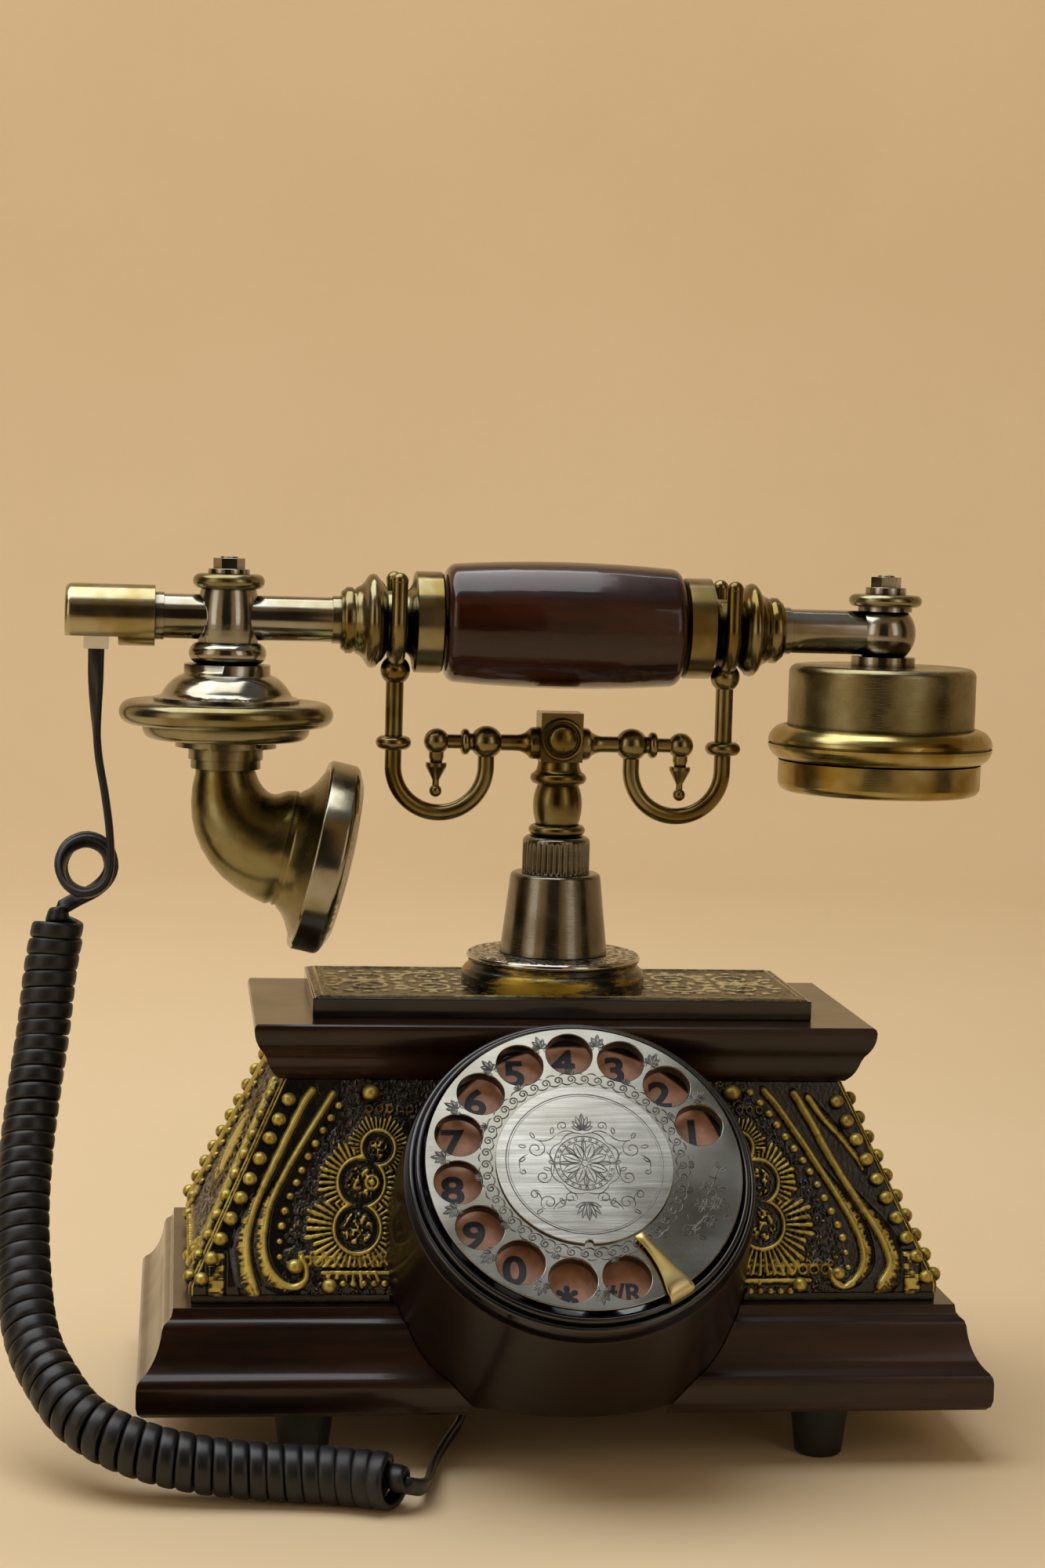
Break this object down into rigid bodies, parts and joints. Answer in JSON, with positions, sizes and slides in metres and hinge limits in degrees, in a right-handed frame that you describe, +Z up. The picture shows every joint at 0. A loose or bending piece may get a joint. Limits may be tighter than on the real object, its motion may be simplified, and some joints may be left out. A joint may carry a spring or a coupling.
{
  "type": "rotary telephone",
  "caption": "Ornate table telephone with a tilted rotary dial, relief-cast body, forked stem cradle and a horn handset on a curly cord.",
  "frame": {"origin": "centre of the footprint of the telephone without its cord, on the surface that it stands on", "axes": "+X towards the earpiece and along the handset, -Y towards the user and the dial, +Z up"},
  "size_m": [0.2908, 0.1741, 0.251],
  "materials": {
    "mahogany": "dark lacquered mahogany, glossy",
    "grip_wood": "dark red-brown lacquer, glossy",
    "antique_gilt": "cast relief, olive-gold over near-black recesses",
    "boss_gilt": "streaky gold over black",
    "antique_brass": "antique brass, polished high spots, dark recesses",
    "silver_brass": "silvery old brass, polished",
    "dark_nickel": "dark brushed nickel",
    "wheel_metal": "silvery brass, engraved and polished",
    "stop_brass": "polished yellow brass",
    "gear_brass": "machined brass",
    "steel": "plain steel",
    "spring_steel": "blued spring steel",
    "bezel_black": "moulded, glossy black",
    "copper_card": "copper-brown with dark numbers",
    "black_plastic": "matte black",
    "contact_resin": "pale moulded resin",
    "board_green": "green laminate",
    "black_rubber": "matte",
    "cord_black": "smooth black cord sheath",
    "clear_plastic": "clear moulded"
  },
  "bodies": {
    "base": {"plinth": "mahogany", "body_shell": "antique_gilt", "cornice": "mahogany", "deck_plate": "antique_gilt", "boss_ring": "boss_gilt", "stem_disc": "dark_nickel", "stem_cone": "dark_nickel", "knurled_collar": "dark_nickel", "guide_tube": "steel", "bottom_cover": "black_plastic", "base_screws": "steel", "rubber_feet": "black_rubber", "hook_bracket": "steel", "hook_switch": "black_plastic", "circuit_board": "board_green", "ringer_speaker": "black_plastic", "line_jack": "black_plastic", "cord_jack": "black_plastic", "dial_drum": "mahogany", "dial_bezel": "bezel_black", "number_plate": "copper_card", "finger_stop": "stop_brass", "dial_frame": "steel", "gear_bridge": "steel", "return_spring": "spring_steel", "pulse_switch": "contact_resin", "plunger_spring": "spring_steel", "cord_tail": "cord_black", "curly_cord": "cord_black", "cord_lead": "cord_black", "base_plug": "clear_plastic"},
    "cradle": {"cradle_post": "antique_brass", "plunger_rod": "steel", "cradle_arms": "antique_brass", "left_hook": "antique_brass", "right_hook": "antique_brass"},
    "handset": {"handset_grip": "grip_wood", "spine_tube": "steel", "grip_collars": "silver_brass", "side_tubes": "silver_brass", "mouth_tee": "silver_brass", "mouth_bell": "silver_brass", "mouth_saucer": "silver_brass", "mouth_horn": "silver_brass", "mouthpiece_cap": "silver_brass", "microphone": "black_plastic", "ear_ball": "silver_brass", "ear_cup": "silver_brass", "ear_ring": "silver_brass", "ear_cap": "silver_brass", "receiver": "black_plastic", "cap_rings": "silver_brass", "clamp_bolts": "silver_brass", "end_cap": "silver_brass", "handset_plug": "clear_plastic"},
    "finger_wheel": {"finger_wheel": "wheel_metal", "centre_plate": "wheel_metal", "main_gear": "gear_brass"},
    "idler": {"idler_gear": "gear_brass"},
    "governor": {"governor": "gear_brass"}
  },
  "joints": [
    {"name": "handset_lift", "type": "slide", "parent": "base", "child": "handset", "axis": [0, 0, 1], "range_m": [0, 0.06]},
    {"name": "cradle_rise", "type": "slide", "parent": "base", "child": "cradle", "axis": [0, 0, 1], "range_m": [0, 0.004], "stiffness_N_per_m": 60, "springref_m": 0.02, "deforming": ["plunger_spring"]},
    {"name": "dial_turn", "type": "hinge", "parent": "base", "child": "finger_wheel", "pos_m": [0.00715, -0.05731, 0.0888], "axis": [0, 0.7396, -0.673], "range_deg": [0, 335], "stiffness_Nm_per_rad": 0.01, "springref_deg": -57.3},
    {"name": "idler_turn", "type": "hinge", "parent": "base", "child": "idler", "pos_m": [-0.01251, -0.06658, 0.07862], "axis": [0, 0.7396, -0.673], "range_deg": [-1340, 0]},
    {"name": "governor_turn", "type": "hinge", "parent": "base", "child": "governor", "pos_m": [-0.00291, -0.07777, 0.06632], "axis": [0, 0.7396, -0.673], "range_deg": [0, 4020]}
  ],
  "couplings": [
    {"joint": "cradle_rise", "follows": "handset_lift", "ratio": 0.066666},
    {"joint": "idler_turn", "follows": "dial_turn", "ratio": -4},
    {"joint": "governor_turn", "follows": "dial_turn", "ratio": 12}
  ]
}
